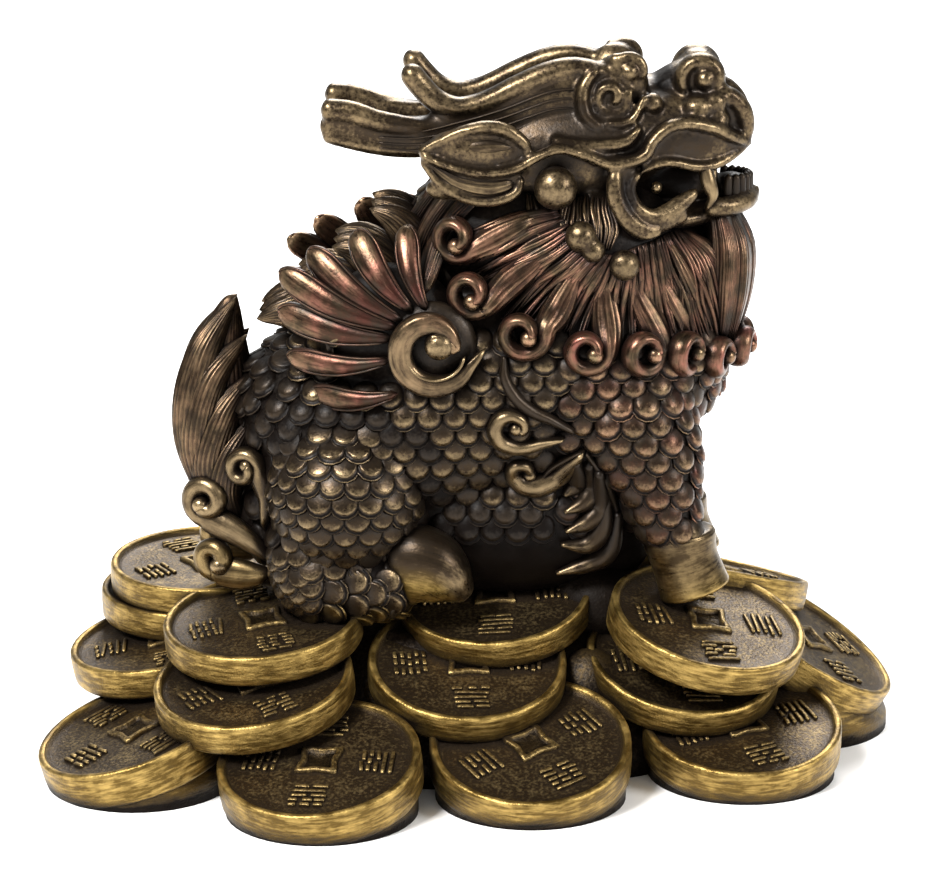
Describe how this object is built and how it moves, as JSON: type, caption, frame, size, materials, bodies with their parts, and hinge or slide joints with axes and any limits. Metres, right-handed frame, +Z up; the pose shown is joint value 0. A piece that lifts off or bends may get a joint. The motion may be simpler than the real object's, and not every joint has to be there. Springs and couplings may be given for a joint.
{
  "type": "qilin figure",
  "caption": "Cast figure of a horned, scaled qilin with flame-like wings, crouching on a heap of old square-holed coins.",
  "frame": {"origin": "middle of the length and width, on the flat underside of the coins", "axes": "+Z up from the underside, +X the way the animal faces, +Y to the animal's left"},
  "size_m": [0.1269, 0.096, 0.1046],
  "materials": {
    "painted_resin": "dark brown resin casting, dry-brushed with bronze and gold paint, satin"
  },
  "bodies": {
    "root": {"qilin_on_coins": "painted_resin"}
  },
  "joints": []
}
